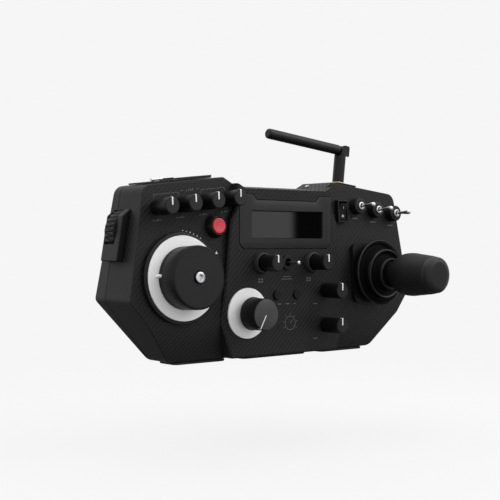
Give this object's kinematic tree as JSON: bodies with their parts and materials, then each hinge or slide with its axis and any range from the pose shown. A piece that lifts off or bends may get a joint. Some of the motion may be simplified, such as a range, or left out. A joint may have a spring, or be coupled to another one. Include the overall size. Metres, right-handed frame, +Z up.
{
  "type": "radio transmitter controller",
  "caption": "Console-style radio transmitter with focus and iris knobs, speed knobs, a display, toggle switches, a sprung joystick and a folding antenna.",
  "frame": {"origin": "on the resting plane, under the middle foot's centre line", "axes": "+Z up, +X to the user's right, the control face looks along -Y"},
  "size_m": [0.3202, 0.1555, 0.2001],
  "materials": {
    "carbon_shell": "2x2 twill carbon fibre under a satin clear coat",
    "rear_shell": "satin moulded",
    "door_plastic": "fine moulded texture",
    "bezel_plastic": "smooth satin",
    "collar_plastic": "satin",
    "black_plastic": "satin moulded",
    "knob_plastic": "satin, knurled side",
    "grip_plastic": "fine soft-touch texture",
    "cap_plastic": "satin",
    "white_marking": "matte, for writing marks on",
    "red_cap": "satin",
    "bare_metal": "turned",
    "brass": "turned",
    "boot_rubber": "matte moulded",
    "foot_rubber": "matte moulded",
    "antenna_plastic": "satin",
    "screen_glass": "polished",
    "display_panel": "dark when off",
    "circuit_board": "solder mask",
    "battery_wrap": "shrink wrap"
  },
  "bodies": {
    "case": {"front_case": "carbon_shell", "rear_case": "rear_shell", "battery_pack": "battery_wrap", "main_board": "circuit_board", "foot_left": "foot_rubber", "foot_centre": "foot_rubber", "foot_right": "foot_rubber", "screen_bezel": "bezel_plastic", "screen_glass": "screen_glass", "display_module": "display_panel", "focus_drum": "black_plastic", "focus_marking_ring": "white_marking", "focus_sensor": "bare_metal", "iris_marking_ring": "white_marking", "iris_sensor": "bare_metal", "speed_pot_board": "circuit_board", "control_board": "circuit_board", "menu_collar_left": "collar_plastic", "menu_collar_right": "collar_plastic", "menu_lever_socket": "black_plastic", "record_button_housing": "black_plastic", "power_switch_frame": "black_plastic", "joystick_base": "black_plastic", "joystick_boot": "boot_rubber", "side_wheel_guard": "black_plastic", "side_wheel_pot": "bare_metal", "antenna_bracket": "black_plastic", "antenna_connector": "brass", "left_top_plate": "black_plastic", "toggle_switch_1": "bare_metal", "toggle_switch_2": "bare_metal", "toggle_switch_3": "bare_metal"},
    "battery_door": {"battery_door": "door_plastic"},
    "focus_knob": {"focus_knob": "knob_plastic", "focus_knob_screw": "bare_metal"},
    "iris_knob": {"iris_knob": "knob_plastic"},
    "record_button": {"record_button": "red_cap"},
    "power_switch_rocker": {"power_switch_rocker": "black_plastic"},
    "menu_lever": {"menu_lever": "bare_metal"},
    "joystick_yoke": {"joystick_yoke": "bare_metal"},
    "joystick_shaft": {"joystick_shaft": "bare_metal", "joystick_boot_neck": "boot_rubber"},
    "joystick_handle": {"joystick_handle": "grip_plastic", "joystick_cap": "cap_plastic"},
    "side_wheel": {"side_wheel": "black_plastic"},
    "antenna_base": {"antenna_base": "antenna_plastic"},
    "antenna_arm": {"antenna_arm": "antenna_plastic"},
    "speed_knob_1": {"speed_knob_1": "knob_plastic"},
    "speed_knob_2": {"speed_knob_2": "knob_plastic"},
    "speed_knob_3": {"speed_knob_3": "knob_plastic"},
    "speed_knob_4": {"speed_knob_4": "knob_plastic"},
    "menu_knob_left": {"menu_knob_left": "knob_plastic"},
    "select_button_left": {"select_button_left": "black_plastic"},
    "menu_knob_right": {"menu_knob_right": "knob_plastic"},
    "select_button_right": {"select_button_right": "black_plastic"},
    "adjust_knob_upper": {"adjust_knob_upper": "knob_plastic"},
    "adjust_knob_lower": {"adjust_knob_lower": "knob_plastic"},
    "toggle_lever_1": {"toggle_lever_1": "bare_metal"},
    "toggle_lever_2": {"toggle_lever_2": "bare_metal"},
    "toggle_lever_3": {"toggle_lever_3": "bare_metal"}
  },
  "joints": [
    {"name": "focus_turn", "type": "hinge", "parent": "case", "child": "focus_knob", "pos_m": [-0.1112, -0.02899, 0.071], "axis": [0, -0.9983, 0.0576], "range_deg": [-150, 150]},
    {"name": "iris_turn", "type": "hinge", "parent": "case", "child": "iris_knob", "pos_m": [-0.0448, -0.033, 0.0405], "axis": [0, -1, 0], "range_deg": [-150, 150]},
    {"name": "speed_1_turn", "type": "hinge", "parent": "case", "child": "speed_knob_1", "pos_m": [-0.132, -0.02574, 0.12742], "axis": [0, -0.9983, 0.0576], "range_deg": [-150, 150]},
    {"name": "speed_2_turn", "type": "hinge", "parent": "case", "child": "speed_knob_2", "pos_m": [-0.109, -0.02559, 0.13007], "axis": [0, -0.9983, 0.0576], "range_deg": [-150, 150]},
    {"name": "speed_3_turn", "type": "hinge", "parent": "case", "child": "speed_knob_3", "pos_m": [-0.086, -0.02543, 0.13273], "axis": [0, -0.9983, 0.0576], "range_deg": [-150, 150]},
    {"name": "speed_4_turn", "type": "hinge", "parent": "case", "child": "speed_knob_4", "pos_m": [-0.06301, -0.02528, 0.13539], "axis": [0, -0.9983, 0.0576], "range_deg": [-150, 150]},
    {"name": "menu_left_turn", "type": "hinge", "parent": "case", "child": "menu_knob_left", "pos_m": [-0.0292, -0.033, 0.0825], "axis": [0, -1, 0], "continuous": true},
    {"name": "menu_right_turn", "type": "hinge", "parent": "case", "child": "menu_knob_right", "pos_m": [0.0292, -0.033, 0.0825], "axis": [0, -1, 0], "continuous": true},
    {"name": "adjust_upper_turn", "type": "hinge", "parent": "case", "child": "adjust_knob_upper", "pos_m": [0.0459, -0.033, 0.0573], "axis": [0, -1, 0], "range_deg": [-150, 150]},
    {"name": "adjust_lower_turn", "type": "hinge", "parent": "case", "child": "adjust_knob_lower", "pos_m": [0.0459, -0.033, 0.0265], "axis": [0, -1, 0], "range_deg": [-150, 150]},
    {"name": "record_press", "type": "slide", "parent": "case", "child": "record_button", "axis": [0, 0.9983, -0.0576], "range_m": [0, 0.0015], "stiffness_N_per_m": 300, "springref_m": -0.002},
    {"name": "select_left_press", "type": "slide", "parent": "case", "child": "select_button_left", "axis": [0, 1, 0], "range_m": [0, 0.0008], "stiffness_N_per_m": 300, "springref_m": -0.002},
    {"name": "select_right_press", "type": "slide", "parent": "case", "child": "select_button_right", "axis": [0, 1, 0], "range_m": [0, 0.0008], "stiffness_N_per_m": 300, "springref_m": -0.002},
    {"name": "menu_lever_tilt", "type": "hinge", "parent": "case", "child": "menu_lever", "pos_m": [0, -0.03, 0.0825], "axis": [1, 0, 0], "range_deg": [-12, 12], "stiffness_Nm_per_rad": 0.03},
    {"name": "power_rock", "type": "hinge", "parent": "case", "child": "power_switch_rocker", "pos_m": [0.072, -0.0262, 0.12803], "axis": [1, 0, 0], "range_deg": [-20, 0]},
    {"name": "toggle_1_flip", "type": "hinge", "parent": "case", "child": "toggle_lever_1", "pos_m": [0.0915, -0.03391, 0.13339], "axis": [1, 0, 0], "range_deg": [-12, 12]},
    {"name": "toggle_2_flip", "type": "hinge", "parent": "case", "child": "toggle_lever_2", "pos_m": [0.1148, -0.03408, 0.13039], "axis": [1, 0, 0], "range_deg": [-12, 12]},
    {"name": "toggle_3_flip", "type": "hinge", "parent": "case", "child": "toggle_lever_3", "pos_m": [0.1387, -0.03425, 0.12749], "axis": [1, 0, 0], "range_deg": [-12, 12]},
    {"name": "stick_pitch", "type": "hinge", "parent": "case", "child": "joystick_yoke", "pos_m": [0.1095, -0.02098, 0.07104], "axis": [1, 0, 0], "range_deg": [-23, 16.5], "stiffness_Nm_per_rad": 1.2, "springref_deg": -1.38},
    {"name": "stick_sway", "type": "hinge", "parent": "joystick_yoke", "child": "joystick_shaft", "pos_m": [0.1095, -0.02098, 0.07104], "axis": [0, 0, 1], "range_deg": [-20, 20], "stiffness_Nm_per_rad": 1.2},
    {"name": "stick_twist", "type": "hinge", "parent": "joystick_shaft", "child": "joystick_handle", "pos_m": [0.1095, -0.02098, 0.07104], "axis": [0, -1, 0], "range_deg": [-30, 30], "stiffness_Nm_per_rad": 0.2},
    {"name": "side_wheel_turn", "type": "hinge", "parent": "case", "child": "side_wheel", "pos_m": [-0.1404, 0.0017, 0.1075], "axis": [0, 1, 0], "range_deg": [-135, 135]},
    {"name": "antenna_swivel", "type": "hinge", "parent": "case", "child": "antenna_base", "pos_m": [0.086, -0.01, 0.16692], "axis": [0.1134, 0, 0.9935], "range_deg": [-175, 175]},
    {"name": "antenna_elbow", "type": "hinge", "parent": "antenna_base", "child": "antenna_arm", "pos_m": [0.0907, -0.01, 0.1852], "axis": [0, 1, 0], "range_deg": [-6, 90]},
    {"name": "battery_door_slide", "type": "slide", "parent": "case", "child": "battery_door", "axis": [1, 0, 0], "range_m": [0, 0.04]}
  ]
}
